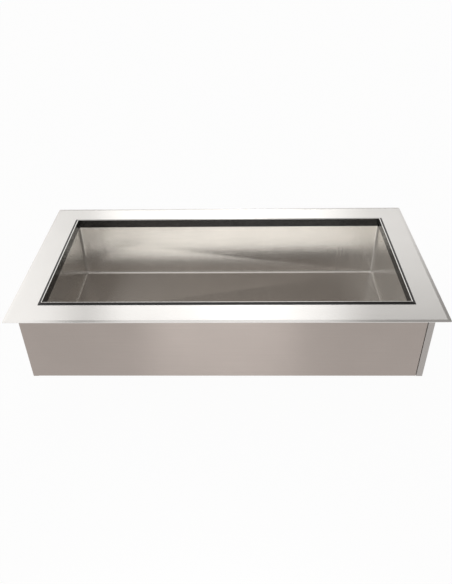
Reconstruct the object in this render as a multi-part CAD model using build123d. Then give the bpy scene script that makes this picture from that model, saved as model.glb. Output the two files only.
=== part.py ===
from build123d import *
from math import atan2, cos
import os

# Drop-in food well: an insulated, ice-cooled stainless tub that hangs by its flange in a counter.
# Millimetres, +Z up, +X to the right, +Y to the back. Z = 0 is the counter's top face, and X = Y = 0 is
# the middle of the flange. An "inset" is a distance in from the flange's outer edge.

# Flange
flange_width = 1320.0
flange_depth = 700.0
flange_sheet = 1.5
flange_corner = 5.0
flange_bend = 1.0
edge_run = 10.5
edge_drop = 1.0
return_inset = 89.5
return_depth = 16.5

# Breaker strip: a lip over the flange with a bead along its inner edge, a barbed web and a skirt
strip_inset = 84.0
lip_width = 11.0
lip_edge = 1.2
lip_rise = 1.8
lip_radius = 0.6
bead_run = 7.8
bead_lean = 0.6
bead_rise = 4.2
bead_radius = 1.2
skirt_sheet = 1.6
skirt_depth = 27.5
skirt_edge_radius = 0.6
slot_depth = 1.5
web_gap = 0.2
web_depth = 19.5
barb_reach = 1.3
barb_height = 2.8

# Liner
liner_sheet = 1.0
liner_depth = 235.0
liner_radius = 8.0
liner_edge_gap = 0.5
corner_notch = 13.0

# The liner's floor is folded along creases that run from its corners down to a level square at the drain
drain_x = -430.0
floor_fall = 8.6
low_square = 100.0

# Casing: four folded panels round a base sheet, each with a return round one corner
casing_inset = 35.0
casing_end_inset = 33.0
casing_depth = 251.5
casing_sheet = 1.2
casing_bend = 0.8
casing_return = 20.0
seam_gap = 2.8
joggle = 3.0
joggle_run = 1.6
tab_clear = 6.0
fold_width = 15.0
fold_relief = 18.0
seam_relief = 2.0

# Insulation boards
foam_gap = 4.4
foam_top = -18.0
foam_drain_radius = 56.0
tail_room = 2.0

# Sealing tape under the flange
tape_inset = 11.5
tape_width = 12.0

# Blind rivets, drawn with few sides because they repeat
rivet_sides = 8
rivet_radius = 2.0
rivet_play = 0.1
rivet_head_radius = 3.8
rivet_head_height = 1.2
rivet_tail_radius = 2.8
rivet_tail_height = 1.5
rivet_taper = 40.0
rivet_line = 9.0
rivet_end = 60.0
rivets_long = 6
rivets_short = 3

# Drain
drain_flange_radius = 43.0
drain_flange_sheet = 1.6
drain_cup_radius = 26.0
drain_cup_bore = 22.5
drain_cup_depth = 4.9
drain_seat_radius = 25.0
drain_seat_depth = 1.2
drain_funnel_rise = 2.5
drain_floor = 2.5
drain_neck_radius = 16.0
drain_pipe_radius = 16.7
drain_pipe_bore = 13.3
drain_stub = 58.0
drain_thread = 42.0
drain_chamfer = 1.2
drain_fit = 0.1
drain_hole_play = 0.6
gasket_thickness = 0.8
washer_radius = 38.0
washer_thickness = 1.0
locknut_radius = 36.0
locknut_height = 3.0
locknut_slots = 6
locknut_slot = 9.0
locknut_slot_depth = 4.0
collar_radius = 30.0
collar_tip_radius = 22.0
collar_height = 12.0
base_hole_radius = 20.0

# Strainer
strainer_radius = 24.6
strainer_sheet = 1.0
strainer_hole_radius = 2.2
strainer_hole_sides = 12
strainer_rings = [(9.5, 5), (17.5, 10)]
knob_radius = 4.5
knob_neck = 2.5
knob_height = 8.0
knob_cap = 3.0

# Hold-down locks on the end walls
lock_spacing = 340.0
lock_reach = 7.5
lock_top = -16.0
lock_bottom = -82.0
bracket_sheet = 1.5
bracket_bend = 0.8
bracket_depth = 13.5
bracket_near = 9.0
bracket_far = 27.0
bracket_corner = 5.0
lock_rivet_offset = 18.0
lock_rivet_rows = [-32.0, -66.0]
screw_radius = 3.0
screw_fit = 0.05
screw_gap = 0.2
screw_head_radius = 5.0
screw_head_height = 5.0
screw_socket = 2.5
screw_socket_depth = 3.0
peen_radius = 4.4
peen_height = 1.4
hub_radius = 5.5
hub_height = 12.0
dog_length = 36.0
dog_width = 8.0
dog_root = 9.0
dog_tip = 4.0
dog_tip_radius = 3.0
dog_lip = 1.5
dog_lip_length = 6.0

# A cutter's length, in thicknesses of what it passes through, and how far one stands clear of a face
cut_through = 6
cut_margin = 1.0

# Turns sharper than this (the sine of their angle) are rounded, shallow ones stay as creases
rounded_turn = 0.9

# Worked out from the above
edge_slope = atan2(edge_drop, edge_run)
flange_top = edge_drop + flange_sheet * cos(edge_slope)
flange_under = flange_top - flange_sheet
strip_inner = strip_inset + lip_width
liner_face = strip_inner - skirt_sheet
liner_back = liner_face - liner_sheet
liner_floor = flange_top - liner_depth
liner_low_floor = liner_floor - floor_fall
liner_low_under = liner_low_floor - liner_sheet
casing_bottom = flange_top - casing_depth
base_under = casing_bottom + casing_sheet
base_top = base_under + casing_sheet
casing_width = flange_width - 2 * casing_end_inset
casing_side = flange_depth - 2 * casing_inset
drain_under = liner_low_floor + gasket_thickness
drain_top = drain_under + drain_flange_sheet
drain_seat = drain_top - drain_seat_depth
drain_funnel = drain_top - drain_cup_depth
drain_end = drain_funnel - drain_floor

# Where a round solid stands: on the plane z = 0, its axis on Z
ON_PLANE = (Align.CENTER, Align.CENTER, Align.MIN)

# Moves what is drawn about the Z axis to the drain
AT_DRAIN = Pos(drain_x, 0, 0)

# The four sides, by name: length of the flange's edge, its distance from the middle, and the turn that
# brings the front side round to it.
SIDES = {
    "front": (flange_width, flange_depth / 2, 0),
    "right": (flange_depth, flange_width / 2, 90),
    "back": (flange_width, flange_depth / 2, 180),
    "left": (flange_depth, flange_width / 2, 270),
}


def nearest_vertex(face, point):
    return face.vertices().sort_by_distance(point)[0]


def bent_sheet(skin, thickness, bend):
    """Section of a folded sheet: skin is one face, the sheet lies to its left, folds are rounded."""
    points = [Vector(*point) for point in skin]
    runs = [(b - a).normalized() for a, b in zip(points, points[1:])]
    sides = [Vector(-run.Y, run.X) for run in runs]
    back = [points[0] + sides[0] * thickness]
    for i in range(1, len(points) - 1):
        both = sides[i - 1] + sides[i]
        back.append(points[i] + both * (thickness / (1 + sides[i - 1].dot(sides[i]))))
    back.append(points[-1] + sides[-1] * thickness)
    face = make_face(Polyline(*points, *reversed(back), close=True))
    for i in range(1, len(points) - 1):
        turn = runs[i - 1].cross(runs[i]).Z
        if abs(turn) > rounded_turn:
            skin_radius = bend + thickness if turn > 0 else bend
            back_radius = bend if turn > 0 else bend + thickness
            face = fillet(nearest_vertex(face, points[i]), skin_radius)
            face = fillet(nearest_vertex(face, back[i]), back_radius)
    return face


def channel(depth, top, bottom, sheet, bend):
    """Section of a folded channel that opens along the first axis, its back at zero."""
    return bent_sheet([(depth, top), (0, top), (0, bottom), (depth, bottom)], sheet, bend)


def turned(points):
    """Solid of revolution about Z from a closed outline of radius and height."""
    return revolve(Plane.XZ * make_face(Polyline(*points, close=True)), Axis.Z)


def block(x_range, y_range, z_range):
    """Rectangular block between two limits on each axis."""
    low, high = zip(x_range, y_range, z_range)
    size = [b - a for a, b in zip(low, high)]
    return Pos(*low) * Box(*size, align=(Align.MIN, Align.MIN, Align.MIN))


def mitred_run(section, length, distance):
    """A front-side run of a section drawn as inset and height, its ends cut at 45 degrees."""
    plane = Plane(origin=(-length / 2, -distance, 0), x_dir=(0, 1, 0), z_dir=(1, 0, 0))
    bar = extrude(plane * section, length)
    half = length / 2
    plan = Polygon((-half, -distance), (half, -distance), (0, half - distance), align=None)
    return bar & extrude(plan, casing_depth, both=True)


def flange_frame():
    """Four mitred lengths of folded sheet, welded into one frame, with rounded outer corners."""
    skin = [
        (return_inset, flange_top - return_depth),
        (return_inset, flange_top),
        (edge_run, flange_top),
        (0, flange_top - edge_drop),
    ]
    section = bent_sheet(skin, flange_sheet, flange_bend)
    runs = []
    for length, distance, turn in SIDES.values():
        runs.append(Rot(Z=turn) * mitred_run(section, length, distance))
    frame = runs[0] + runs[1] + runs[2] + runs[3]
    outline = RectangleRounded(flange_width, flange_depth, flange_corner)
    return frame & extrude(outline, 2 * return_depth, both=True)


def breaker_section():
    """Lip, bead, skirt, liner slot and barbed web, as inset and height."""
    lip_outer = (strip_inset, flange_top + lip_edge)
    bead_foot = (strip_inset + bead_run, flange_top + lip_rise)
    bead_outer = (strip_inset + bead_run + bead_lean, flange_top + bead_rise)
    bead_inner = (strip_inner, flange_top + bead_rise)
    skirt_end = flange_top - skirt_depth
    slot_top = flange_top - slot_depth
    web_face = return_inset + web_gap
    web_back = liner_back - web_gap
    web_end = flange_top - web_depth
    barb_top = flange_top - return_depth - web_gap
    barb_tip = web_face - barb_reach
    face = make_face(
        Polyline(
            (strip_inset, flange_top),
            lip_outer,
            bead_foot,
            bead_outer,
            bead_inner,
            (strip_inner, skirt_end),
            (liner_face, skirt_end),
            (liner_face, slot_top),
            (web_back, slot_top),
            (web_back, web_end),
            (web_face, web_end),
            (barb_tip, web_end + barb_height / 2),
            (barb_tip, barb_top),
            (web_face, barb_top),
            (web_face, flange_top),
            close=True,
        )
    )
    face = fillet(nearest_vertex(face, lip_outer), lip_radius)
    face = fillet(nearest_vertex(face, bead_outer), bead_radius)
    face = fillet(nearest_vertex(face, bead_inner), bead_radius)
    return fillet(nearest_vertex(face, (strip_inner, skirt_end)), skirt_edge_radius)


def breaker_strip(length, distance):
    return mitred_run(breaker_section(), length, distance)


def tub(inset, top, floor, radius):
    """Solid of a tub: upright sides, with rounded corners and a rounded floor edge."""
    size = Rectangle(flange_width - 2 * inset, flange_depth - 2 * inset)
    solid = Pos(0, 0, floor) * extrude(size, top - floor)
    rounded = solid.edges().filter_by(Axis.Z) + solid.faces().sort_by(Axis.Z)[0].edges()
    return fillet(rounded, radius)


def floor_facets():
    """Four planes under the plane z = 0 that fall from the floor's edges to the drain's level square."""
    length = flange_width - 2 * (liner_face + liner_radius)
    width = flange_depth - 2 * (liner_face + liner_radius)
    low_x = length / 2 + drain_x - low_square / 2
    low_y = width / 2 - low_square / 2
    wedge = Wedge(length, floor_fall, width, low_x, low_y, low_x + low_square, low_y + low_square)
    return Pos(0, 0, -floor_fall / 2) * Rot(X=-90) * wedge


def liner():
    """The tub: its upper edge sits in the breaker's slot, its corners are notched behind the skirt."""
    edge = flange_top - slot_depth - liner_edge_gap
    shell = tub(liner_back, edge, liner_floor - liner_sheet, liner_radius + liner_sheet)
    shell += Pos(0, 0, liner_floor - liner_sheet) * floor_facets()
    shell -= tub(liner_face, edge + liner_sheet, liner_floor, liner_radius)
    shell -= Pos(0, 0, liner_floor) * floor_facets()
    drain_hole = Cylinder(drain_cup_radius + drain_hole_play, cut_through * liner_sheet)
    shell -= Pos(0, 0, liner_low_floor) * AT_DRAIN * drain_hole
    notch_floor = flange_top - skirt_depth - web_gap
    half_width = flange_width / 2 - liner_back
    half_depth = flange_depth / 2 - liner_back
    for x in (-half_width, half_width):
        for y in (-half_depth, half_depth):
            notch = Box(2 * corner_notch, 2 * corner_notch, skirt_depth * 2)
            shell -= Pos(x, y, notch_floor + skirt_depth) * notch
    return shell


def fold_rivet_places(length, count):
    """Where rivets stand along a front-side panel's lower fold."""
    span = length - 2 * rivet_end
    line = -casing_distance(length) + rivet_line
    return [(span * (i / (count - 1) - 0.5), line) for i in range(count)]


def casing_distance(length):
    """Distance from the middle to the panel of that length."""
    return (casing_side if length == casing_width else casing_width) / 2


def lock_rivet_places():
    """Where lock rivets pass an end wall: along the wall from its middle, and height."""
    places = []
    for middle in (-lock_spacing / 2, lock_spacing / 2):
        places += [(middle + lock_rivet_offset, height) for height in lock_rivet_rows]
    return places


def casing_panel(length, rivets, is_end):
    """A front-side panel: a return at its left corner, folds above and below, a tab behind the seam."""
    distance = casing_distance(length)
    left = -length / 2
    seam = length / 2 - casing_return - seam_gap
    plan = [
        (left, -distance + casing_return),
        (left, -distance),
        (seam, -distance),
        (seam + joggle_run, -distance + joggle),
        (length / 2 - tab_clear, -distance + joggle),
    ]
    height = flange_under - casing_bottom
    wall = Pos(0, 0, casing_bottom) * extrude(bent_sheet(plan, casing_sheet, casing_bend), height)
    start = left + fold_relief
    end = seam - seam_relief
    through = (-distance - cut_margin, -distance + fold_width)
    wall -= block((start, end), through, (casing_bottom - cut_margin, flange_under + cut_margin))
    across = Plane(origin=(start, -distance, 0), x_dir=(0, 1, 0), z_dir=(1, 0, 0))
    folded = channel(fold_width, flange_under, casing_bottom, casing_sheet, casing_bend)
    panel = wall + extrude(across * folded, end - start)
    hole = rivet_hole(casing_sheet)
    for x, y in fold_rivet_places(length, rivets):
        panel -= Pos(x, y, casing_bottom) * hole
    if is_end:
        for x, z in lock_rivet_places():
            panel -= Pos(x, -distance, z) * Rot(X=90) * hole
    return panel


def casing_base():
    """Flat base sheet that lies on the panels' lower folds."""
    size = Rectangle(casing_width - 2 * foam_gap, casing_side - 2 * foam_gap)
    sheet = Pos(0, 0, base_under) * extrude(size, casing_sheet)
    sheet -= Pos(0, 0, base_under) * AT_DRAIN * Cylinder(base_hole_radius, cut_through * casing_sheet)
    hole = rivet_hole(casing_sheet)
    for x, y in base_rivet_places():
        sheet -= Pos(x, y, base_under) * hole
    return sheet


def base_rivet_places():
    """All base rivets: each side's row, turned round to that side."""
    places = []
    for name, (_, _, turn) in SIDES.items():
        is_end = name in ("left", "right")
        length = casing_side if is_end else casing_width
        for x, y in fold_rivet_places(length, rivets_short if is_end else rivets_long):
            point = Vector(x, y).rotate(Axis.Z, turn)
            places.append((point.X, point.Y))
    return places


def rivet_hole(sheet):
    """Cutter for a rivet's hole, along Z and halfway through the plane z = 0."""
    outline = RegularPolygon(rivet_radius + rivet_play, rivet_sides)
    return extrude(outline, cut_through * sheet / 2, both=True)


def rivet(grip):
    """Blind rivet along Z: a tapered head under the grip, and a set tail above it."""
    head = extrude(RegularPolygon(rivet_head_radius, rivet_sides), -rivet_head_height, taper=rivet_taper)
    shank = extrude(RegularPolygon(rivet_radius, rivet_sides), grip)
    tail = extrude(RegularPolygon(rivet_tail_radius, rivet_sides), rivet_tail_height)
    return head + shank + Pos(0, 0, grip) * tail


def base_rivets():
    one = rivet(2 * casing_sheet)
    return Compound(children=[Pos(x, y, casing_bottom) * one for x, y in base_rivet_places()])


def lock_rivets():
    """Rivets through the lock brackets and the end walls, heads outside."""
    one = rivet(bracket_sheet + casing_sheet)
    outside = casing_width / 2 + bracket_sheet
    placed = []
    for turn in (0, 180):
        for y, z in lock_rivet_places():
            placed.append(Rot(Z=turn) * Pos(outside, y, z) * Rot(Y=-90) * one)
    return Compound(children=placed)


def insulation():
    """Boards between casing and liner: front and back run full length, the ends fit between them."""
    outer_x = casing_width / 2 - foam_gap
    outer_y = casing_side / 2 - foam_gap
    inner_x = flange_width / 2 - liner_back
    inner_y = flange_depth / 2 - liner_back
    walls = (base_top + tail_room, foam_top)
    under = (base_top, liner_floor - liner_sheet)
    bottom = block((-inner_x, inner_x), (-inner_y, inner_y), under)
    bottom -= Pos(0, 0, liner_floor - liner_sheet) * floor_facets()
    drain_room = Cylinder(foam_drain_radius, cut_through * (liner_floor - base_top))
    bottom -= Pos(0, 0, base_top) * AT_DRAIN * drain_room
    return {
        "insulation_front": block((-outer_x, outer_x), (-outer_y, -inner_y), walls),
        "insulation_back": block((-outer_x, outer_x), (inner_y, outer_y), walls),
        "insulation_left": block((-outer_x, -inner_x), (-inner_y, inner_y), walls),
        "insulation_right": block((inner_x, outer_x), (-inner_y, inner_y), walls),
        "insulation_base": bottom,
    }


def counter_gasket():
    """Four lengths of sealing tape between the flange and the counter, butted at the corners."""
    outer_x = flange_width / 2 - tape_inset
    outer_y = flange_depth / 2 - tape_inset
    inner_x = outer_x - tape_width
    inner_y = outer_y - tape_width
    height = (0, flange_under)
    return Compound(
        children=[
            block((-outer_x, outer_x), (-outer_y, -inner_y), height),
            block((-outer_x, outer_x), (inner_y, outer_y), height),
            block((-outer_x, -inner_x), (-inner_y, inner_y), height),
            block((inner_x, outer_x), (-inner_y, inner_y), height),
        ]
    )


def drain_body():
    """Turned drain: flange, strainer seat, and a cup whose funnel floor has a hole for the tail."""
    hole = drain_neck_radius + drain_fit
    return turned(
        [
            (drain_seat_radius, drain_top),
            (drain_flange_radius - drain_flange_sheet, drain_top),
            (drain_flange_radius, drain_under),
            (drain_cup_radius, drain_under),
            (drain_cup_radius, drain_end),
            (hole, drain_end),
            (hole, drain_funnel),
            (drain_cup_bore, drain_funnel + drain_funnel_rise),
            (drain_cup_bore, drain_seat),
            (drain_seat_radius, drain_seat),
        ]
    )


def drain_tail():
    """Outlet tube welded into the cup's floor: a neck, and a wider threaded end below the casing."""
    stub_end = casing_bottom - drain_stub
    thread_end = stub_end + drain_chamfer
    thread_start = thread_end + drain_thread
    return turned(
        [
            (drain_pipe_bore, drain_funnel),
            (drain_neck_radius, drain_funnel),
            (drain_neck_radius, thread_start),
            (drain_pipe_radius, thread_start),
            (drain_pipe_radius, thread_end),
            (drain_pipe_radius - drain_chamfer, stub_end),
            (drain_pipe_bore, stub_end),
        ]
    )


def ring(inner, outer, bottom, height):
    """Flat ring about Z."""
    return Pos(0, 0, bottom) * extrude(Circle(outer) - Circle(inner), height)


def drain_locknut():
    """Ring nut under the liner, slotted for a spanner."""
    top = liner_low_under - washer_thickness
    nut = ring(drain_cup_radius + drain_fit, locknut_radius, top - locknut_height, locknut_height)
    slot = Box(2 * locknut_slot_depth, locknut_slot, cut_through * locknut_height)
    for spot in PolarLocations(locknut_radius, locknut_slots):
        nut -= Pos(0, 0, top) * spot * slot
    return nut


def drain_collar():
    """Rubber collar that closes the base sheet's hole round the outlet stub's neck."""
    inner = drain_neck_radius + drain_fit
    tip = base_under - collar_height
    return turned(
        [
            (inner, base_under),
            (collar_radius, base_under),
            (collar_radius, base_under - collar_height / 4),
            (collar_tip_radius, tip),
            (inner, tip),
        ]
    )


def drain_strainer():
    """Perforated lift-out disc with a pull knob."""
    top = drain_seat + strainer_sheet
    cap = top + knob_height - knob_cap
    disc = turned(
        [
            (0, drain_seat),
            (strainer_radius, drain_seat),
            (strainer_radius, top),
            (knob_neck, top),
            (knob_neck, cap),
            (knob_radius, cap),
            (knob_radius, cap + knob_cap / 2),
            (knob_neck, cap + knob_cap),
            (0, cap + knob_cap),
        ]
    )
    outline = RegularPolygon(strainer_hole_radius, strainer_hole_sides)
    hole = extrude(outline, cut_through * strainer_sheet / 2, both=True)
    for radius, count in strainer_rings:
        for spot in PolarLocations(radius, count):
            disc -= Pos(0, 0, drain_seat) * spot * hole
    return disc


def drain():
    """The drain's pieces, by name, about the Z axis."""
    inner = drain_cup_radius + drain_fit
    washer_bottom = liner_low_under - washer_thickness
    return {
        "body": drain_body(),
        "tail": drain_tail(),
        "gasket": ring(inner, drain_flange_radius, liner_low_floor, gasket_thickness),
        "washer": ring(inner, washer_radius, washer_bottom, washer_thickness),
        "locknut": drain_locknut(),
        "collar": drain_collar(),
        "strainer": drain_strainer(),
    }


def lock_bracket():
    """Folded channel on the wall plane x = 0, its ears holding the lock screw at the lock's reach."""
    section = channel(bracket_depth, lock_top, lock_bottom, bracket_sheet, bracket_bend)
    width = bracket_near + bracket_far
    bracket = extrude(Plane.XZ.offset(-bracket_far) * section, width)
    outer_edges = bracket.edges().filter_by(Axis.Z).group_by(Axis.X)[-1]
    bracket = fillet(outer_edges, bracket_corner)
    height = lock_top - lock_bottom
    screw_hole = Cylinder(screw_radius + screw_fit, 2 * height)
    bracket -= Pos(lock_reach, 0, lock_bottom) * screw_hole
    hole = rivet_hole(bracket_sheet)
    for z in lock_rivet_rows:
        bracket -= Pos(0, lock_rivet_offset, z) * Rot(Y=90) * hole
    return bracket


def lock_screw():
    """Lock screw: a socket head under the lower ear and a peened end above the upper ear."""
    head_top = lock_bottom - screw_gap
    head_bottom = head_top - screw_head_height
    peen = lock_top + screw_gap
    screw = turned(
        [
            (0, head_bottom),
            (screw_head_radius, head_bottom),
            (screw_head_radius, head_top),
            (screw_radius, head_top),
            (screw_radius, peen),
            (peen_radius, peen),
            (screw_radius, peen + peen_height),
            (0, peen + peen_height),
        ]
    )
    socket = Pos(0, 0, head_bottom) * extrude(RegularPolygon(screw_socket, 6), screw_socket_depth)
    return Pos(lock_reach, 0, 0) * (screw - socket)


def lock_dog():
    """Dog: a hub on the screw and a finger along the wall, with a biting lip at its tip."""
    bottom = lock_bottom + bracket_sheet + screw_gap
    top = bottom + hub_height
    side = Polygon(
        (0, top),
        (dog_length - dog_lip_length, top),
        (dog_length - dog_lip_length + dog_lip, top + dog_lip),
        (dog_length, top + dog_lip),
        (dog_length, top - dog_tip),
        (dog_root, top - dog_root),
        (0, top - dog_root),
        align=None,
    )
    along_wall = Plane(origin=(0, 0, 0), x_dir=(0, -1, 0), z_dir=(-1, 0, 0))
    finger = extrude(along_wall * side, dog_width / 2, both=True)
    tip_edges = finger.edges().filter_by(Axis.Z).group_by(Axis.Y)[0]
    finger = fillet(tip_edges, dog_tip_radius)
    hub = Pos(0, 0, bottom) * Cylinder(hub_radius, hub_height, align=ON_PLANE)
    bore = Pos(0, 0, bottom) * Cylinder(screw_radius + screw_fit, cut_through * hub_height)
    return Pos(lock_reach, 0, 0) * (finger + hub - bore)


def locks():
    """Two locks on each end wall. The left end's are the right end's, turned half way round."""
    pieces = {"lock_bracket": lock_bracket(), "lock_screw": lock_screw(), "lock_dog": lock_dog()}
    half = lock_spacing / 2
    places = {
        "right_front": (0, -half),
        "right_back": (0, half),
        "left_front": (180, half),
        "left_back": (180, -half),
    }
    placed = {}
    for kind, piece in pieces.items():
        for place, (turn, along) in places.items():
            placed[f"{kind}_{place}"] = Rot(Z=turn) * Pos(casing_width / 2, along, 0) * piece
    return placed


def all_parts():
    """Every node of the well, by name."""
    parts = {"flange_frame": flange_frame(), "liner": liner()}
    for name, (length, distance, turn) in SIDES.items():
        is_end = name in ("left", "right")
        panel = casing_panel(
            casing_side if is_end else casing_width, rivets_short if is_end else rivets_long, is_end
        )
        parts[f"breaker_{name}"] = Rot(Z=turn) * breaker_strip(length, distance)
        parts[f"casing_{name}"] = Rot(Z=turn) * panel
    parts["casing_base"] = casing_base()
    parts["base_rivets"] = base_rivets()
    parts.update(insulation())
    parts["counter_gasket"] = counter_gasket()
    for name, piece in drain().items():
        parts[f"drain_{name}"] = AT_DRAIN * piece
    parts.update(locks())
    parts["lock_rivets"] = lock_rivets()
    return parts


os.makedirs("parts", exist_ok=True)
for node, shape in all_parts().items():
    export_step(shape, f"parts/{node}.step")
    print(node, len(shape.solids()), "solid(s)", round(shape.volume), "mm3")
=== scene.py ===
# %% [markdown]
# # A drop-in food well, dressed in Blender
# The well is a stainless tub that hangs by a wide flange in a counter. Its folded sheets, drain and locks
# come ready-made from the CAD model. This lesson gives them their metal, plastic and rubber, models the
# small turned things that CAD leaves plain (threads and rivet heads), and sets up the studio.

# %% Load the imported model
import math

import bpy
from mathutils import Matrix, Vector


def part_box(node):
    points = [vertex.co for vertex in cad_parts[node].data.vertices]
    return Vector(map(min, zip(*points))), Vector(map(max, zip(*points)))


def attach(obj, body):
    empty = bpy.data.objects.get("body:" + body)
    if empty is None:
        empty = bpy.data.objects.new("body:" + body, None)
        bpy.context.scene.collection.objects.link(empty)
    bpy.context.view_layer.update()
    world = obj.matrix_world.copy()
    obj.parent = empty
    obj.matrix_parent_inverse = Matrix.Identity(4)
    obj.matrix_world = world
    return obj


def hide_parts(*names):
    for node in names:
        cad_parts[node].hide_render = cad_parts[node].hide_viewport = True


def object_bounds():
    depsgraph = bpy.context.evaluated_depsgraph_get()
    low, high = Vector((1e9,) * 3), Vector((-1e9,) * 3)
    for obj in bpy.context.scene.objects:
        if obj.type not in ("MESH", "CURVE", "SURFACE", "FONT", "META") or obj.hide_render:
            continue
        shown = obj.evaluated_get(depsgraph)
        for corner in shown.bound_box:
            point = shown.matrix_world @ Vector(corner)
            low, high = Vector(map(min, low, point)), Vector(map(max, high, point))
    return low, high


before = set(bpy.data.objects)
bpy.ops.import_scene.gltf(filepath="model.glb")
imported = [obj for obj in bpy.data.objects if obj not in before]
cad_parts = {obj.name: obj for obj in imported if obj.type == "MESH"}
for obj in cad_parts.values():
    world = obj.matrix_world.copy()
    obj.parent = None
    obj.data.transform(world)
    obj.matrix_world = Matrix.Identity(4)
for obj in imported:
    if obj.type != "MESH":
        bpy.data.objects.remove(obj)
cad_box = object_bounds()
print("CAD box, in metres:", [[round(v, 4) for v in corner] for corner in cad_box])

# %% [markdown]
# ## The camera
# A product photograph with straight edges can be solved like a map: the flange's corners, whose sizes are
# known, give the lens and the place it was taken from. Here that is 1.7 m in front and a little over 1 m
# above the counter, looking down by 36 degrees. The turn about each axis is applied in the order in which a
# photographer moves a tripod head: pan, tilt, then roll.

# %% Camera
IMAGE_HEIGHT_PX = 584
FOCAL_LENGTH_PX = 586.0
SENSOR_MM = 36.0
CAMERA_PLACE = Vector((0.0431, -1.6811, 1.0843))
CAMERA_PAN = math.radians(1.6426)
CAMERA_TILT_DOWN = math.radians(36.1403)
CAMERA_ROLL = math.radians(-1.1403)


def turn(angle, axis):
    return Matrix.Rotation(angle, 4, axis)


camera_data = bpy.data.cameras.new("photo_camera")
camera_data.sensor_width = SENSOR_MM
camera_data.lens = SENSOR_MM * FOCAL_LENGTH_PX / IMAGE_HEIGHT_PX
camera = bpy.data.objects.new("photo_camera", camera_data)
bpy.context.scene.collection.objects.link(camera)
upright = turn(math.pi / 2 - CAMERA_TILT_DOWN, "X")
camera.matrix_world = (
    Matrix.Translation(CAMERA_PLACE) @ turn(CAMERA_PAN, "Z") @ upright @ turn(CAMERA_ROLL, "Z")
)
bpy.context.scene.camera = camera
print("lens:", round(camera_data.lens, 2), "mm")

# %% [markdown]
# ## Helpers for finishes
# Every finish is a node material. These helpers add a node, set its inputs and link it, so that the cells
# below read as a recipe. Patterns are measured in Object coordinates: they are in metres here, because each
# piece sits at the origin with its place in its mesh. Noise runs from 0 to 1 but seldom leaves the middle of
# that span, so the recipes stretch the part that it does use.

# %% Node helpers
NOISE_SPAN = (0.3, 0.7)


def opaque(colour):
    return tuple(colour) + (1.0,)


def tint(colour, tone):
    return opaque(channel * tone for channel in colour)


class Finish:
    """A new material, its shader, and short ways to add nodes to it."""

    def __init__(self, name):
        self.material = bpy.data.materials.new(name)
        self.material.use_nodes = True
        self.nodes = self.material.node_tree.nodes
        self.links = self.material.node_tree.links
        self.shader = self.nodes["Principled BSDF"]
        self.place = self.add("ShaderNodeTexCoord").outputs["Object"]

    def add(self, kind, settings=None, **inputs):
        """Add a node. An input is a plain value, or another node's output to link."""
        node = self.nodes.new(kind)
        for key, value in (settings or {}).items():
            setattr(node, key, value)
        for key, value in inputs.items():
            self.feed(node.inputs[key.replace("_", " ")], value)
        return node

    def feed(self, socket, value):
        if isinstance(value, bpy.types.NodeSocket):
            self.links.new(value, socket)
        else:
            socket.default_value = value

    def set(self, **inputs):
        """Set or link the shader's own inputs."""
        for key, value in inputs.items():
            self.feed(self.shader.inputs[key.replace("_", " ")], value)

    def noise(self, vector, scale, detail=2.0, roughness=0.5):
        node = self.add("ShaderNodeTexNoise", Vector=vector, Scale=scale, Detail=detail, Roughness=roughness)
        return node.outputs["Fac"]

    def stretched(self, scale):
        """Object coordinates, scaled by a different amount along each axis."""
        return self.add("ShaderNodeMapping", Vector=self.place, Scale=scale).outputs["Vector"]

    def between(self, value, low, high, start=0.0, end=1.0):
        """Turn a value that runs from start to end into one from low to high."""
        node = self.add("ShaderNodeMapRange", Value=value)
        node.inputs["From Min"].default_value = start
        node.inputs["From Max"].default_value = end
        node.inputs["To Min"].default_value = low
        node.inputs["To Max"].default_value = high
        return node.outputs["Result"]

    def share(self, value, start, end):
        """Turn a value that runs from start to end into a share from 0 to 1."""
        return self.between(value, 0.0, 1.0, start, end)

    def uneven(self, pattern, middle, spread):
        """A value that a noise pattern varies about its middle."""
        return self.between(pattern, middle - spread, middle + spread, *NOISE_SPAN)

    def blend(self, factor, first, second):
        """Mix two colours, or two numbers fed in as greys."""
        node = self.add("ShaderNodeMix", {"data_type": "RGBA"})
        self.feed(node.inputs["Factor"], factor)
        self.feed(node.inputs["A"], first)
        self.feed(node.inputs["B"], second)
        return node.outputs["Result"]

    def bump(self, height, strength, distance, normal=None):
        node = self.add("ShaderNodeBump", Height=height, Strength=strength, Distance=distance)
        if normal is not None:
            self.feed(node.inputs["Normal"], normal)
        return node.outputs["Normal"]


def dress(finish, *names):
    """Put a finish on CAD nodes."""
    for name in names:
        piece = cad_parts[name]
        piece.data.materials.clear()
        piece.data.materials.append(finish.material)
    print(finish.material.name, "on", ", ".join(names))


# %% [markdown]
# ## The grain of brushed steel
# The sheet is brushed with an abrasive belt, which leaves fine scratches along its length. Seen from a
# distance the scratches smear reflections across their own direction and hardly along it. That is what the
# shader's Anisotropic value does, once it is told which way the smear runs: across the grain, in the sheet.
# For grain along X that is the cross product of the surface's normal and X. For grain a quarter turn round
# it is X itself. For close views the scratches are noise, drawn out along the grain.

# %% Grain
FINE, LONG = 900.0, 5.0
# Noise scales along X, Y and Z, first on most faces, then on faces that look to the left or right.
GRAIN_SCALES = {
    "level": ((LONG, FINE, FINE), (FINE, LONG, FINE)),
    "upright": ((FINE, LONG, LONG), (LONG, FINE, LONG)),
}
GRAIN_ASKEW = 0.08
END_FACES = (0.6, 0.8)


def smear_direction(finish, normal, grain):
    """The direction across the grain, which the belt leaves slightly askew."""
    level = finish.add("ShaderNodeCombineXYZ", X=1.0, Y=GRAIN_ASKEW).outputs["Vector"]
    if grain == "upright":
        return level
    cross = finish.add("ShaderNodeVectorMath", {"operation": "CROSS_PRODUCT"})
    finish.feed(cross.inputs[0], normal)
    finish.feed(cross.inputs[1], level)
    return cross.outputs["Vector"]


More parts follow.
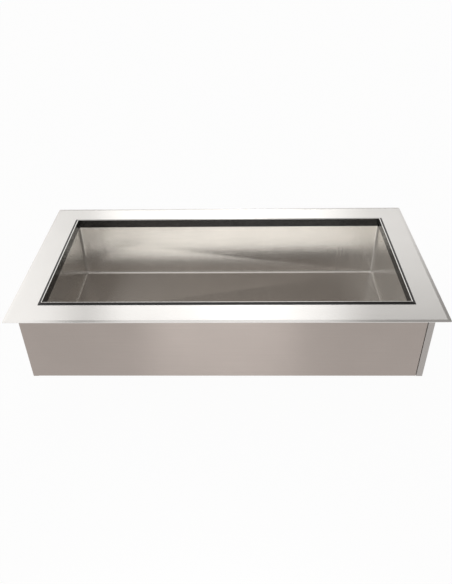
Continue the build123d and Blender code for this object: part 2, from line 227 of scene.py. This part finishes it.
def grain_streaks(finish, normal, grain):
    """Noise drawn out along the grain."""
    sideways = finish.add("ShaderNodeSeparateXYZ", Vector=normal).outputs["X"]
    sideways = finish.add("ShaderNodeMath", {"operation": "ABSOLUTE"}, Value=sideways).outputs["Value"]
    on_most, on_ends = (
        finish.noise(finish.stretched(scales), 1.0, detail=3.0, roughness=0.65)
        for scales in GRAIN_SCALES[grain]
    )
    return finish.blend(finish.share(sideways, *END_FACES), on_most, on_ends)


print("widest streaks about", round(1000 / FINE, 1), "mm across")

# %% [markdown]
# ## Flange, tub and casing
# The grain of the flange and the casing is level. The tub's runs up its walls and from front to back on its
# floor, because walls and floor are folded from one sheet. The streaks vary the colour and the roughness and
# give a fine bump. Long soft waves tilt the sheet slightly, as thin metal always is, so reflections bend.
# The flange and the tub are brushed fine and mirror the room. The casing, which a counter hides, is brushed
# coarser, so rough that it shows only a soft sheen. It is the same steel as the tub, but its colour is
# painted
# darker and warmer: painted shade, with the warm tone of the dim room in front that it mirrors. The end
# panels get a lighter, less warm copy of that colour, painted for the different light that falls on them.

# %% Brushed steel
STREAK_SPAN = (0.25, 0.6)
STREAK_TONE = 0.92
HANDLED_TONES = (0.97, 1.02)
CLOUD_SCALE = 7.0
WAVE_SCALE = 2.6
SCRATCH_DEPTH = 0.00012


def brushed_steel(name, colour, roughness, smear, grain, wave):
    """Steel sheet with level or upright grain, and waves of a given height in metres."""
    finish = Finish(name)
    normal = finish.add("ShaderNodeNewGeometry").outputs["Normal"]
    streaks = grain_streaks(finish, normal, grain)
    cloud = finish.noise(finish.place, CLOUD_SCALE, detail=3.0)
    waves = finish.noise(finish.place, WAVE_SCALE, detail=1.0)
    touched, clean = (tint(colour, tone) for tone in HANDLED_TONES)
    handled = finish.blend(finish.share(cloud, *NOISE_SPAN), touched, clean)
    finish.set(
        Base_Color=finish.blend(finish.share(streaks, *STREAK_SPAN), tint(colour, STREAK_TONE), handled),
        Roughness=finish.uneven(streaks, roughness, spread=0.03),
        Metallic=1.0,
        Anisotropic=smear,
        Tangent=smear_direction(finish, normal, grain),
        Normal=finish.bump(streaks, 0.06, SCRATCH_DEPTH, finish.bump(waves, 1.0, wave)),
    )
    return finish


flange_steel = brushed_steel(
    "flange_brushed", colour=(0.83, 0.82, 0.805), roughness=0.20, smear=0.85, grain="level", wave=0.0002
)
dress(flange_steel, "flange_frame")
liner_steel = brushed_steel(
    "liner_brushed", colour=(0.885, 0.87, 0.845), roughness=0.21, smear=0.90, grain="upright", wave=0.0001
)
dress(liner_steel, "liner")
# Painted shade: the casing gets a darker, warmer copy of the tub's steel colour.
casing_steel_painted_shade = brushed_steel(
    "casing_brushed_painted_shade", colour=(0.48, 0.425, 0.393), roughness=0.42, smear=0.9, grain="level", wave=0.0006
)
dress(casing_steel_painted_shade, "casing_front", "casing_back", "casing_base")
# Painted shade: the end panels get a darker copy of the tub's steel, lighter and less warm than the front.
casing_end_steel_painted_shade = brushed_steel(
    "casing_end_brushed_painted_shade", colour=(0.51, 0.483, 0.465), roughness=0.42, smear=0.9, grain="level", wave=0.0006
)
dress(casing_end_steel_painted_shade, "casing_left", "casing_right")

# %% [markdown]
# ## The breaker strip
# A strip of black plastic keeps the cold tub apart from the warm flange. It is extruded, so it has a smooth
# skin with faint lines along its length, and dust and fingers dull it in patches. Along the crown of its
# bead a bright metallic stripe is painted in as a highlight, where the glossy crest catches the light. It
# shows as a thin light line. The painted highlight needs no piece of its own: it is where the strip is
# highest, so the height above the flange tells where the black plastic turns to the painted metal.

# %% Breaker plastic
# Painted highlight: a bright metallic stripe along the crown of the bead, above a set height.
PAINTED_HIGHLIGHT_RISE = 0.0036
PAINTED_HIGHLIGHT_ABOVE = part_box("flange_frame")[1].z + PAINTED_HIGHLIGHT_RISE
PAINTED_HIGHLIGHT_EDGE = 0.0003
PAINTED_HIGHLIGHT_COLOUR = (0.93, 0.92, 0.90)
CLEAN_BLACK = (0.008, 0.008, 0.008)
DUSTY_BLACK = (0.012, 0.0115, 0.011)
EXTRUSION_LINES = (3.0, 3.0, 1500.0)

breaker = Finish("breaker_black_painted_highlight")
lines = breaker.noise(breaker.stretched(EXTRUSION_LINES), 1.0)
dull = breaker.noise(breaker.place, 60.0, detail=3.0)
strip_height = breaker.add("ShaderNodeSeparateXYZ", Vector=breaker.place).outputs["Z"]
# Painted highlight: where the strip stands this high, its colour turns to bright metal.
painted_highlight = breaker.share(strip_height, PAINTED_HIGHLIGHT_ABOVE, PAINTED_HIGHLIGHT_ABOVE + PAINTED_HIGHLIGHT_EDGE)
plastic = breaker.blend(dull, opaque(CLEAN_BLACK), opaque(DUSTY_BLACK))
breaker.set(
    Base_Color=breaker.blend(painted_highlight, plastic, opaque(PAINTED_HIGHLIGHT_COLOUR)),
    Metallic=painted_highlight,
    Roughness=breaker.uneven(dull, 0.19, spread=0.03),
    IOR=1.5,
    Normal=breaker.bump(lines, 0.02, 0.00003),
)
dress(breaker, "breaker_front", "breaker_right", "breaker_back", "breaker_left")

# %% [markdown]
# ## Foam, tape, rubber and fibre
# These are hidden in use, but a model that is turned over or cut open shows them. Foam has cells, so its
# surface is pitted at about a millimetre, and each pit is painted darker towards its bottom as shade.
# Sealing tape is a finer closed-cell foam. The drain's gasket and collar are moulded rubber, and its washer
# is pressed red fibre.

# %% Soft and hidden finishes
PATCH_SCALE = 14.0
PATCH_STRENGTH = 0.35
PIT_SHADE_SPAN = (0.1, 0.7)


def pitted(name, dark, light, cells, roughness, depth):
    """A matt material with small rounded cells in its surface, so many to the metre, each cell painted
    darker towards its middle as shade in its pit.
    """
    finish = Finish(name)
    cell = finish.add("ShaderNodeTexVoronoi", Vector=finish.place, Scale=cells).outputs["Distance"]
    patches = finish.noise(finish.place, PATCH_SCALE, detail=4.0)
    # Painted shade: each cell's colour darkens towards its middle, the bottom of its pit.
    shade = finish.blend(finish.share(cell, *PIT_SHADE_SPAN), opaque(dark), opaque(light))
    finish.set(
        Base_Color=finish.blend(finish.between(patches, 0.0, PATCH_STRENGTH), shade, opaque(dark)),
        Roughness=finish.between(patches, roughness - 0.06, roughness + 0.06),
        Normal=finish.bump(cell, 0.5, depth),
    )
    return finish


foam = pitted(
    "foam_cells",
    dark=(0.62, 0.51, 0.29),
    light=(0.84, 0.75, 0.50),
    cells=900.0,
    roughness=0.9,
    depth=0.0005,
)
dress(foam, *(f"insulation_{side}" for side in ("front", "back", "left", "right", "base")))
tape = pitted(
    "seal_tape",
    dark=(0.012, 0.012, 0.012),
    light=(0.035, 0.034, 0.033),
    cells=1600.0,
    roughness=0.85,
    depth=0.0002,
)
dress(tape, "counter_gasket")
rubber = pitted(
    "drain_rubber",
    dark=(0.013, 0.013, 0.014),
    light=(0.024, 0.024, 0.025),
    cells=2500.0,
    roughness=0.6,
    depth=0.0001,
)
dress(rubber, "drain_gasket", "drain_collar")
fibre = pitted(
    "red_fibre",
    dark=(0.26, 0.06, 0.04),
    light=(0.36, 0.10, 0.07),
    cells=1800.0,
    roughness=0.75,
    depth=0.0001,
)
dress(fibre, "drain_washer")

# %% [markdown]
# ## The turned drain
# The drain is turned on a lathe, so its tool marks run round the drain's axis: rings of noise, read from the
# distance to that axis and from the height. A ready-made ring texture would be centred on the origin and too
# regular.

# %% Turned steel
DRAIN_X = -0.43
RING_SCALE = 1800.0
RING_TONE = 0.94


def turned_steel(name, colour, roughness):
    """Lathe-turned steel, with rings round the drain's axis."""
    finish = Finish(name)
    flat = finish.add("ShaderNodeMapping", Vector=finish.place, Location=(-DRAIN_X, 0, 0), Scale=(1, 1, 0))
    radius = finish.add("ShaderNodeVectorMath", {"operation": "LENGTH"})
    finish.feed(radius.inputs[0], flat.outputs["Vector"])
    height = finish.add("ShaderNodeSeparateXYZ", Vector=finish.place).outputs["Z"]
    rings_at = finish.add("ShaderNodeCombineXYZ", X=radius.outputs["Value"], Y=height)
    rings = finish.noise(rings_at.outputs["Vector"], RING_SCALE)
    finish.set(
        Base_Color=finish.blend(rings, tint(colour, RING_TONE), opaque(colour)),
        Roughness=finish.uneven(rings, roughness, spread=0.05),
        Metallic=1.0,
        Normal=finish.bump(rings, 0.2, 0.0001),
    )
    return finish


drain_steel = turned_steel("drain_turned", colour=(0.88, 0.865, 0.84), roughness=0.2)
dress(drain_steel, "drain_body", "drain_tail", "drain_strainer")

# %% [markdown]
# ## Brass, zinc and aluminium
# The locknut is cast brass. The locks are pressed steel with a bright zinc plating, which shows as small
# clouds of grey and a trace of blue. The rivets are dull aluminium. One recipe serves all three: clouds of
# tone with uneven gloss, and specks nine times finer for the bump.

# %% Small metals
SPECKS_PER_CLOUD = 9.0


def cloudy_metal(name, dark, light, clouds, roughness):
    """Plated or cast metal: small clouds of tone, a little uneven gloss."""
    finish = Finish(name)
    cloud = finish.noise(finish.place, clouds, detail=4.0, roughness=0.6)
    specks = finish.noise(finish.place, clouds * SPECKS_PER_CLOUD)
    finish.set(
        Base_Color=finish.blend(finish.share(cloud, *NOISE_SPAN), opaque(dark), opaque(light)),
        Roughness=finish.uneven(cloud, roughness, spread=0.08),
        Metallic=1.0,
        Normal=finish.bump(specks, 0.15, 0.0001),
    )
    return finish


brass = cloudy_metal(
    "locknut_brass", dark=(0.60, 0.42, 0.16), light=(0.76, 0.57, 0.26), clouds=120.0, roughness=0.38
)
dress(brass, "drain_locknut")
zinc = cloudy_metal(
    "lock_zinc", dark=(0.52, 0.53, 0.55), light=(0.70, 0.71, 0.73), clouds=160.0, roughness=0.34
)
LOCK_PLACES = ("right_front", "right_back", "left_front", "left_back")
dress(zinc, *(f"lock_{kind}_{place}" for kind in ("bracket", "screw", "dog") for place in LOCK_PLACES))
rivet_metal = cloudy_metal(
    "rivet_aluminium", dark=(0.62, 0.62, 0.63), light=(0.78, 0.78, 0.79), clouds=300.0, roughness=0.42
)
dress(rivet_metal, "base_rivets", "lock_rivets")

# %% [markdown]
# ## Turned pieces: draw half a profile and spin it
# Rivets, screws and pipe ends are round, so half of each one's profile says all there is to say. One vertex
# is drawn along that profile by extruding it from point to point, and Spin sweeps the line round the Z axis,
# as a lathe does. Where the line comes back to its start, or to the axis, merging doubled vertices closes
# the skin. A mesh cylinder would need many insets for the same shape.

# %% Turning helpers
MM = 0.001
MERGE_WITHIN = 1e-7


def select_only(piece):
    bpy.ops.object.select_all(action="DESELECT")
    piece.select_set(True)
    bpy.context.view_layer.objects.active = piece


def draw_line(name, points):
    """A chain of edges through points of radius and height, in millimetres."""
    bpy.ops.object.select_all(action="DESELECT")
    bpy.ops.mesh.primitive_plane_add(size=MM)
    piece = bpy.context.object
    piece.name = name
    places = [Vector((radius, 0, height)) * MM for radius, height in points]
    bpy.ops.object.mode_set(mode="EDIT")
    bpy.ops.mesh.select_all(action="SELECT")
    bpy.ops.mesh.merge(type="CENTER")
    bpy.ops.transform.translate(value=places[0])
    for start, end in zip(places, places[1:]):
        bpy.ops.mesh.extrude_region_move(TRANSFORM_OT_translate={"value": end - start})
    bpy.ops.object.mode_set(mode="OBJECT")
    return piece


def close_skin(piece, fill_sides=0):
    """Merge doubled vertices, fill small open ends and turn all faces outwards."""
    select_only(piece)
    bpy.ops.object.mode_set(mode="EDIT")
    bpy.ops.mesh.select_all(action="SELECT")
    bpy.ops.mesh.remove_doubles(threshold=MERGE_WITHIN)
    if fill_sides:
        bpy.ops.mesh.fill_holes(sides=fill_sides)
    bpy.ops.mesh.select_all(action="SELECT")
    bpy.ops.mesh.normals_make_consistent(inside=False)
    bpy.ops.object.mode_set(mode="OBJECT")


def spin_round(name, points, steps):
    """Draw a profile and spin it round the Z axis."""
    piece = draw_line(name, points)
    bpy.ops.object.mode_set(mode="EDIT")
    bpy.ops.mesh.select_all(action="SELECT")
    bpy.ops.mesh.spin(steps=steps, angle=2 * math.pi, center=(0, 0, 0), axis=(0, 0, 1))
    bpy.ops.object.mode_set(mode="OBJECT")
    close_skin(piece)
    print(name, "spun in", steps, "steps")
    return piece


# %% [markdown]
# ## Cutting and copying
# A Boolean modifier takes one solid out of another, as a drill or a die does. What repeats is modelled once,
# at the origin, and copied to its places. Applying the copies' places and turns leaves the finished piece at
# the origin, unturned, as the CAD nodes are, so that patterns don't slide.

# %% Cutting and copying helpers
SMOOTH_BELOW = math.radians(35)


def apply_modifier(piece, kind, **settings):
    """Add a modifier, set it up and apply it."""
    select_only(piece)
    modifier = piece.modifiers.new(kind.lower(), kind)
    for key, value in settings.items():
        setattr(modifier, key, value)
    bpy.ops.object.modifier_apply(modifier=modifier.name)


def cut_away(piece, cutter):
    """Take one solid out of another."""
    apply_modifier(piece, "BOOLEAN", operation="DIFFERENCE", solver="EXACT", object=cutter)
    bpy.data.objects.remove(cutter)


def place_copies(model, name, places, finish):
    """Copies of a model, each with its own mesh, at places and turns, joined into one finished piece."""
    bpy.ops.object.select_all(action="DESELECT")
    for place, turn_angles in places:
        copy = model.copy()
        copy.data = model.data.copy()
        copy.location = place
        copy.rotation_euler = turn_angles
        bpy.context.scene.collection.objects.link(copy)
        copy.select_set(True)
        bpy.context.view_layer.objects.active = copy
    bpy.ops.object.transform_apply(location=True, rotation=True, scale=True)
    if len(places) > 1:
        bpy.ops.object.join()
    piece = bpy.context.object
    piece.name = name
    piece.data.materials.clear()
    piece.data.materials.append(finish.material)
    bpy.ops.object.shade_smooth_by_angle(angle=SMOOTH_BELOW)
    print(name, "has", len(places), "of its model,", len(piece.data.polygons), "faces")
    return piece


# %% [markdown]
# ## Domed rivets
# A blind rivet is set from outside: the tool pulls a mandrel until the tail swells, and the mandrel snaps
# off inside the hollow head. From outside one sees a low dome with a hole and the broken mandrel in it. The
# CAD rivets are eight-sided stubs of the same size, so the spun ones take their places exactly.

# %% Rivet model
RIVET_STEPS = 24
SHANK = 2.0


def rivet_model(grip):
    """One rivet along Z, its head below zero and its set tail above the grip, in millimetres."""
    mandrel = [(0, -0.55), (0.8, -0.6), (0.95, -0.5), (1.1, -0.5)]
    dome = [(1.2, -1.1), (1.45, -1.2), (2.2, -1.12), (3.0, -0.86), (3.55, -0.48), (3.8, -0.12), (3.72, 0)]
    shank = [(SHANK, 0), (SHANK, grip)]
    tail = [(2.5, grip), (2.8, grip + 0.5), (2.5, grip + 1.15), (1.7, grip + 1.5), (0, grip + 1.5)]
    return spin_round("rivet_model", mandrel + dome + shank + tail, RIVET_STEPS)


# %% [markdown]
# ## Rivets in the base
# The base sheet is riveted from below to the folds of the four panels, in rows of six and of three. The rows
# are spaced by a formula, and the rivets join into one piece, because none of them moves.

# %% Base rivets
CASING_BOTTOM = -0.249007
BASE_GRIP_MM = 2.4
LONG_ROW_SPAN, LONG_ROW_COUNT, LONG_ROW_Y = 1.134, 6, 0.306
SHORT_ROW_SPAN, SHORT_ROW_COUNT, SHORT_ROW_X = 0.510, 3, 0.618
STRAIGHT = (0, 0, 0)


def spaced(span, count):
    """Even places along a row, about its middle."""
    return [span * (i / (count - 1) - 0.5) for i in range(count)]


base_places = []
for sign in (-1, 1):
    for x in spaced(LONG_ROW_SPAN, LONG_ROW_COUNT):
        base_places.append(((x, sign * LONG_ROW_Y, CASING_BOTTOM), STRAIGHT))
    for y in spaced(SHORT_ROW_SPAN, SHORT_ROW_COUNT):
        base_places.append(((sign * SHORT_ROW_X, y, CASING_BOTTOM), STRAIGHT))
base_model = rivet_model(BASE_GRIP_MM)
domed_base_rivets = place_copies(base_model, "domed_base_rivets", base_places, rivet_metal)
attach(domed_base_rivets, "well")
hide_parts("base_rivets")
bpy.data.objects.remove(base_model)

# %% [markdown]
# ## Rivets in the lock brackets
# Two rivets, one above the other, hold each bracket to an end wall. The model points along Z, so each copy
# is tipped over to point into its wall, and those at the left end are also turned half round.

# %% Lock rivets
LOCK_GRIP_MM = 2.7
LOCK_FACE_X = 0.6285
LOCK_ALONG = 0.17
LOCK_RIVET_ALONG = 0.018
LOCK_RIVET_HEIGHTS = (-0.032, -0.066)
lock_places = []
for end, turn_round in ((1, 0), (-1, math.pi)):
    for along in (-LOCK_ALONG, LOCK_ALONG):
        for height in LOCK_RIVET_HEIGHTS:
            place = (end * LOCK_FACE_X, end * (along + LOCK_RIVET_ALONG), height)
            lock_places.append((place, (0, -math.pi / 2, turn_round)))
lock_model = rivet_model(LOCK_GRIP_MM)
domed_lock_rivets = place_copies(lock_model, "domed_lock_rivets", lock_places, rivet_metal)
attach(domed_lock_rivets, "well")
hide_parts("lock_rivets")
bpy.data.objects.remove(lock_model)

# %% [markdown]
# ## Threads
# A die cuts a thread by taking a V-shaped groove out of a plain rod. The same is done here: a triangle is
# drawn across the rod's surface, the Screw modifier winds it up the rod, and a Boolean takes it away. A bump
# would look like a thread from afar, but its outline would stay straight, and threads are known by their
# outline.

# %% Thread cutter
THREAD_FLANK = math.radians(30)
CUTTER_STANDS_OUT = 0.1
TRIANGLE_SIDES = 3


def cut_thread(piece, radius, root, pitch, bottom, top, steps):
    """Cut a V thread round the Z axis into a rod, between two heights. All in millimetres."""
    outer = radius + CUTTER_STANDS_OUT
    half = (outer - root) * math.tan(THREAD_FLANK)
    corners = [(root, bottom), (outer, bottom + half), (outer, bottom - half), (root, bottom)]
    groove = draw_line("thread_groove", corners)
    close_skin(groove)
    turns = round((top - bottom) / pitch)
    apply_modifier(
        groove,
        "SCREW",
        axis="Z",
        angle=2 * math.pi,
        screw_offset=pitch * MM,
        iterations=turns,
        steps=steps,
        render_steps=steps,
    )
    close_skin(groove, fill_sides=TRIANGLE_SIDES)
    cut_away(piece, groove)
    print(piece.name, turns, "turns of thread")


# %% [markdown]
# ## The drain's outlet
# The outlet is a one-inch pipe end, welded into the drain's cup: a plain neck where the rubber collar sits,
# then a thread of eleven turns to the inch for the hose fitting, chamfered so that the fitting starts
# easily. Its profile is a closed line, because the pipe has a bore.

# %% Drain outlet
TAIL_STEPS = 48
TAIL_BORE, TAIL_NECK, TAIL_OUTSIDE = 13.3, 16.0, 16.7
TAIL_TOP, NECK_END, TAIL_BOTTOM = -243.607, -263.807, -307.007
SHOULDER_END = -264.3
TAIL_CHAMFER = 1.2
BORE_EDGE_RADIUS, BORE_EDGE_HEIGHT = 13.6, -306.7
tail_profile = [
    (TAIL_BORE, TAIL_TOP),
    (TAIL_NECK, TAIL_TOP),
    (TAIL_NECK, NECK_END),
    (TAIL_OUTSIDE, SHOULDER_END),
    (TAIL_OUTSIDE, TAIL_BOTTOM + TAIL_CHAMFER),
    (TAIL_OUTSIDE - TAIL_CHAMFER, TAIL_BOTTOM),
    (BORE_EDGE_RADIUS, TAIL_BOTTOM),
    (TAIL_BORE, BORE_EDGE_HEIGHT),
    (TAIL_BORE, TAIL_TOP),
]
tail_model = spin_round("tail_model", tail_profile, TAIL_STEPS)
cut_thread(
    tail_model, radius=TAIL_OUTSIDE, root=15.3, pitch=2.309, bottom=-308.5, top=-266.9, steps=TAIL_STEPS
)
threaded_tail = place_copies(tail_model, "threaded_tail", [((DRAIN_X, 0, 0), STRAIGHT)], drain_steel)
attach(threaded_tail, "well")
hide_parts("drain_tail")
bpy.data.objects.remove(tail_model)

# %% [markdown]
# ## The lock screws
# Each hold-down lock is worked by a six-millimetre screw with a socket head. Its upper end is peened over so
# that it can turn in the bracket but not fall out. The thread between the bracket's ears carries the dog up.
# The socket is cut with a six-sided rod, sunk half its length into the head.

# %% Lock screw model
SCREW_STEPS = 24
ROD, HEAD = 3.0, 5.0
HEAD_BOTTOM, HEAD_TOP, PEEN_BOTTOM = -87.2, -82.2, -15.8
SOCKET_SIDES = 6
SOCKET_RADIUS = 2.5
SOCKET_DEEP = 3.0
screw_profile = [
    (0, HEAD_BOTTOM),
    (4.6, HEAD_BOTTOM),
    (HEAD, -86.8),
    (HEAD, -82.5),
    (4.7, HEAD_TOP),
    (ROD, HEAD_TOP),
    (ROD, PEEN_BOTTOM),
    (4.4, PEEN_BOTTOM),
    (4.2, -15.2),
    (3.4, -14.5),
    (0, -14.4),
]
screw_model = spin_round("screw_model", screw_profile, SCREW_STEPS)
bpy.ops.object.select_all(action="DESELECT")
bpy.ops.mesh.primitive_cylinder_add(
    vertices=SOCKET_SIDES,
    radius=SOCKET_RADIUS * MM,
    depth=2 * SOCKET_DEEP * MM,
    location=(0, 0, HEAD_BOTTOM * MM),
)
cut_away(screw_model, bpy.context.object)
cut_thread(screw_model, radius=ROD, root=2.45, pitch=1.0, bottom=-79.0, top=-20.0, steps=SCREW_STEPS)

# %% [markdown]
# ## A screw in each lock
# Every screw turns by itself, so each is a piece of its own that rides on its own body.

# %% Lock screws
LOCK_X = 0.6345
screw_places = {
    "right_front": (LOCK_X, -LOCK_ALONG),
    "right_back": (LOCK_X, LOCK_ALONG),
    "left_front": (-LOCK_X, -LOCK_ALONG),
    "left_back": (-LOCK_X, LOCK_ALONG),
}
for place_name, (x, y) in screw_places.items():
    screw = place_copies(screw_model, f"threaded_screw_{place_name}", [((x, y, 0), STRAIGHT)], zinc)
    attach(screw, f"screw_{place_name}")
    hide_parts(f"lock_screw_{place_name}")
bpy.data.objects.remove(screw_model)

# %% [markdown]
# ## The white floor
# The well stands on plain white with no edge in sight. A white floor under soft light renders grey, and
# lamps strong enough to make it white would burn out the steel. So the floor glows white for rays that come
# from the camera or from shiny things, which Light Path tells apart. To all other light it is matt white
# paint, and a small share of that paint stays in view to keep the shadow.

# %% Floor
FLOOR_GAP = 0.0005
FLOOR_HEIGHT = cad_box[0].z - FLOOR_GAP
FLOOR_SIZE = 60.0
FLOOR_GLOW = 0.96
FLOOR_PAINT = (0.9, 0.9, 0.9)
WHITE = (1.0, 1.0, 1.0)

bpy.ops.object.select_all(action="DESELECT")
bpy.ops.mesh.primitive_plane_add(size=FLOOR_SIZE, location=(0, 0, FLOOR_HEIGHT))
floor = bpy.context.object
floor.name = "studio_floor"
paint = Finish("floor_white")
paint.set(Base_Color=opaque(FLOOR_PAINT), Roughness=1.0)
ray_kind = paint.add("ShaderNodeLightPath").outputs
on_show = ray_kind["Is Camera Ray"]
for kind in ("Is Glossy Ray", "Is Transmission Ray"):
    either = paint.add("ShaderNodeMath", {"operation": "MAXIMUM"})
    paint.feed(either.inputs[0], on_show)
    paint.feed(either.inputs[1], ray_kind[kind])
    on_show = either.outputs["Value"]
white_glow = paint.add("ShaderNodeEmission", Color=opaque(WHITE), Strength=1.0)
mixed = paint.add("ShaderNodeMixShader", Fac=paint.between(on_show, 0.0, FLOOR_GLOW))
paint.links.new(paint.shader.outputs["BSDF"], mixed.inputs[1])
paint.links.new(white_glow.outputs["Emission"], mixed.inputs[2])
paint.links.new(mixed.outputs["Shader"], paint.nodes["Material Output"].inputs["Surface"])
floor.data.materials.append(paint.material)
print("floor at", round(FLOOR_HEIGHT, 4))

# %% [markdown]
# ## A card in front of the casing
# The middle of the casing is lighter than its ends, as a white card in front of it makes it. An area lamp is
# such a card, with its power worked out from its brightness and its area. It stands lower than the flange,
# whose top would otherwise mirror it as a white patch when seen from behind.

# %% Card
CARD_PLACE = Vector((-0.04, -1.2, -0.15))
CARD_WIDTH, CARD_HEIGHT = 0.66, 0.3
CARD_BRIGHTNESS = 2.3
TOWARDS_CASING = Vector((0, 1, 0))

card_data = bpy.data.lights.new("front_card", "AREA")
card_data.shape = "RECTANGLE"
card_data.size = CARD_WIDTH
card_data.size_y = CARD_HEIGHT
card_data.energy = CARD_BRIGHTNESS * math.pi * CARD_WIDTH * CARD_HEIGHT
card = bpy.data.objects.new("front_card", card_data)
card.location = CARD_PLACE
card.rotation_euler = TOWARDS_CASING.to_track_quat("-Z", "Y").to_euler()
card.visible_camera = False
bpy.context.scene.collection.objects.link(card)
print("card power", round(card_data.energy, 2), "W")

# %% [markdown]
# ## The room
# Steel has hardly a colour of its own: it shows the room. Cards and lamps could stand all round, but a world
# that is painted with soft screens does the same and throws no shadows of stands. Two angles say where a
# direction points. Side runs from -90 degrees at the left to 90 at the right. Climb starts at 0 on the
# horizon behind the well, passes 90 overhead, and ends at 180 on the horizon in front. A screen is a
# brightness, times a soft edge on each side that has one.

# %% Room helpers
room = bpy.data.worlds.new("studio_room")
room.use_nodes = True
bpy.context.scene.world = room
room_nodes = room.node_tree.nodes
room_links = room.node_tree.links


def room_math(operation, *values):
    """One sum on the values of a direction. A value is a number or another node's output."""
    node = room_nodes.new("ShaderNodeMath")
    node.operation = operation
    for socket, value in zip(node.inputs, values):
        if isinstance(value, bpy.types.NodeSocket):
            room_links.new(value, socket)
        else:
            socket.default_value = value
    return node.outputs["Value"]


def fade(angle, dark_at, full_at):
    """A smooth share, 0 at one angle and 1 at the other, both in degrees."""
    node = room_nodes.new("ShaderNodeMapRange")
    node.interpolation_type = "SMOOTHSTEP"
    node.inputs["From Min"].default_value = math.radians(dark_at)
    node.inputs["From Max"].default_value = math.radians(full_at)
    room_links.new(angle, node.inputs["Value"])
    return node.outputs["Result"]


def screen(brightness, *edges):
    """The light of one screen: its brightness, times each of its soft edges."""
    light = room_math("MULTIPLY", edges[0], brightness)
    for edge in edges[1:]:
        light = room_math("MULTIPLY", light, edge)
    return light


def added_up(*lights):
    total = lights[0]
    for light in lights[1:]:
        total = room_math("ADD", light, total)
    return total


direction = room_nodes.new("ShaderNodeSeparateXYZ")
room_links.new(room_nodes.new("ShaderNodeTexCoord").outputs["Generated"], direction.inputs["Vector"])
side = room_math("ARCSINE", direction.outputs["X"])
climb = room_math("ARCTAN2", direction.outputs["Z"], direction.outputs["Y"])
elevation = room_math("ARCSINE", direction.outputs["Z"])

# %% [markdown]
# ## Screens behind and above
# Seen from the front, the flange mirrors what is behind the well and above it: a pale screen that starts a
# little above the horizon, is brightest low in its middle and ends at the right, with a strip that goes on
# overhead. At the left a brighter panel takes over. Its edge leans and is sharp, so it also shows as an edge
# in the steel. Further left the room grows dim, so that the flange isn't burnt out when it is seen from
# there.

# %% Back screens
PANEL_LEAN = 0.15
PANEL_STARTS, PANEL_FULL = -8.8, -10.8

leaning = room_math("MULTIPLY_ADD", climb, PANEL_LEAN, side)
on_panel = fade(leaning, PANEL_STARTS, PANEL_FULL)
beside_panel = fade(leaning, PANEL_FULL, PANEL_STARTS)
low_edge = fade(climb, 18, 26)
back_screen = screen(0.97, low_edge, fade(climb, 49, 26), fade(side, 26, 20), beside_panel)
overhead = screen(0.18, fade(climb, 140, 110), beside_panel)
middle_strip = screen(0.56, low_edge, fade(side, -15, -11), fade(side, 13, 7), fade(climb, 135, 105))
middle_spot = screen(0.70, low_edge, fade(side, -8, 0), fade(side, 8, 0), fade(climb, 48, 30))
left_panel = screen(1.08, low_edge, on_panel, fade(climb, 140, 100), fade(side, -62, -28))
far_left = screen(0.20, fade(side, -20, -38), fade(climb, 60, 20))
front_left = screen(0.40, fade(side, -16, -24), fade(climb, 100, 140))
screens = added_up(back_screen, overhead, middle_strip, middle_spot, left_panel, far_left, front_left)
print("panel's edge, in degrees:", PANEL_STARTS, "to", PANEL_FULL)

# %% [markdown]
# ## The front of the room and the horizon
# The tub's back wall and floor pass on what is in front, behind the camera. It is dim and warm there, which
# gives the lower wall and the floor their dark tone, with a faint glow above the horizon and a lighter
# horizon. The horizon all round is pale, because it is the background of the other views. Where the front
# lights it already, only what is missing is added, so it is as pale everywhere.

# %% Front and horizon
PALE = 0.95

front_glow = screen(
    0.36, fade(side, -14, -3), fade(side, 14, 0), fade(climb, 154, 132), fade(climb, 105, 125)
)
front_horizon = screen(0.24, fade(climb, 146.5, 151))
front_room = room_math("ADD", front_glow, front_horizon)
horizon = screen(PALE, fade(elevation, 18, 10))
missing = room_math("SUBTRACT", horizon, front_room)
screens_and_horizon = room_math("MAXIMUM", screens, missing)

# %% [markdown]
# ## Light the room
# The screens are nearly white, and the dim front has the warm tone of a furnished room. Each needs a colour
# of its own, so there are two backgrounds, added together. The Standard view then shows colours as they are
# written, with no film-like curve.

# %% World
SCREEN_COLOUR = (1.0, 0.995, 0.985)
FRONT_COLOUR = (1.0, 0.89, 0.80)
DIM = 0.10

pale_light = room_nodes["Background"]
warm_light = room_nodes.new("ShaderNodeBackground")
both = room_nodes.new("ShaderNodeAddShader")
room_lights = (
    (pale_light, SCREEN_COLOUR, screens_and_horizon),
    (warm_light, FRONT_COLOUR, room_math("ADD", front_room, DIM)),
)
for socket, (light, colour, strength) in zip(both.inputs, room_lights):
    light.inputs["Color"].default_value = opaque(colour)
    room_links.new(strength, light.inputs["Strength"])
    room_links.new(light.outputs["Background"], socket)
room_links.new(both.outputs["Shader"], room_nodes["World Output"].inputs["Surface"])
bpy.context.scene.view_settings.view_transform = "Standard"
print("the room has", len(room_nodes), "nodes")
